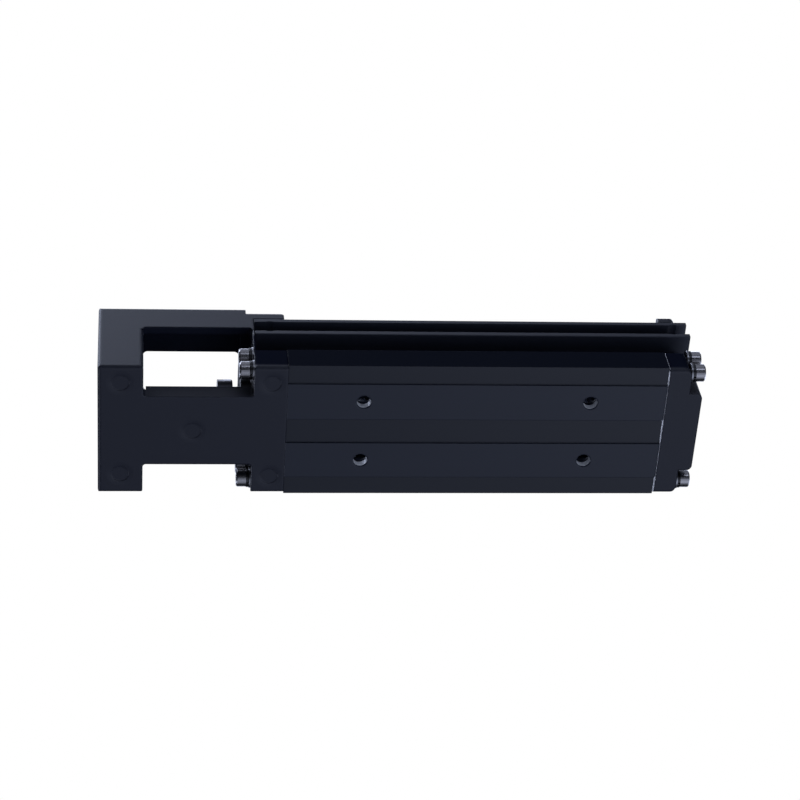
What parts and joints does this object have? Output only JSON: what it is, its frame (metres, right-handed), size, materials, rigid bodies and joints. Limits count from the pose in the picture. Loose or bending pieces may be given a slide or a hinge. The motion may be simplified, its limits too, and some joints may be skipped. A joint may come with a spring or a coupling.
{
  "type": "ball screw linear module",
  "caption": "Ball screw linear module: U-shaped guide rail, screw-driven carriage with table plate, open motor bracket, end plate and side sensor rail.",
  "frame": {"origin": "centre of the four mounting holes, on the mounting face", "axes": "+X along the screw, away from the motor; +Z from the mounting face towards the table; the sensor rail is on the -Y side"},
  "size_m": [0.2389, 0.06, 0.046],
  "materials": {
    "cast_black": "matte black paint on a die casting",
    "rail_black": "satin black surface treatment on ground steel",
    "anodised_black": "black anodised aluminium, satin",
    "screw_black": "black oxide steel, slightly glossy",
    "washer_dark": "dark phosphated steel",
    "ground_steel": "ground bearing steel",
    "nut_steel": "machined steel, grey",
    "block_steel": "ground steel",
    "table_alloy": "clear anodised aluminium",
    "cap_plastic": "moulded plastic, dark",
    "natural_plastic": "natural plastic",
    "rubber_black": "black rubber",
    "brass": "machined brass"
  },
  "bodies": {
    "base": {"base_rail": "rail_black", "motor_bracket": "cast_black", "end_plate": "cast_black", "sensor_rail": "anodised_black", "sensor_rail_screws": "screw_black", "bracket_screws": "screw_black", "bracket_spring_washers": "washer_dark", "bracket_flat_washers": "washer_dark", "end_plate_screws": "screw_black", "end_plate_spring_washers": "washer_dark", "end_plate_flat_washers": "washer_dark", "bearing_cover": "nut_steel", "bearing_cover_screws": "screw_black", "cover_seal": "rubber_black", "fixed_bearing_outer_rings": "ground_steel", "fixed_bearing_balls": "ground_steel", "fixed_bearing_cages": "brass", "support_bearing_outer_ring": "ground_steel", "support_bearing_balls": "ground_steel", "support_bearing_cage": "brass", "stop_bumper_front": "rubber_black", "stop_bumper_rear": "rubber_black"},
    "carriage": {"carriage_block": "block_steel", "ball_nut": "block_steel", "nut_balls": "ground_steel", "nut_deflectors": "natural_plastic", "nut_lock_screws": "screw_black", "guide_balls_left": "ground_steel", "guide_balls_right": "ground_steel", "return_cap_front": "cap_plastic", "return_cap_rear": "cap_plastic", "cap_screws": "screw_black", "wiper_front": "rubber_black", "wiper_rear": "rubber_black", "grease_nipple": "brass", "table_plate": "table_alloy", "table_screws": "screw_black"},
    "screw": {"screw_shaft": "ground_steel", "lock_nut": "nut_steel", "lock_nut_set_screw": "screw_black", "spacer_collar": "ground_steel", "fixed_bearing_inner_rings": "ground_steel", "support_bearing_inner_ring": "ground_steel", "shaft_circlip": "screw_black"}
  },
  "joints": [
    {"name": "carriage_slide", "type": "slide", "parent": "base", "child": "carriage", "axis": [1, 0, 0], "range_m": [-0.035, 0.035]},
    {"name": "screw_spin", "type": "hinge", "parent": "base", "child": "screw", "pos_m": [0, 0, 0.0223], "axis": [1, 0, 0], "range_deg": [-1261, 1261]}
  ],
  "couplings": [
    {"joint": "screw_spin", "follows": "carriage_slide", "rad_per_m": -628.32}
  ]
}
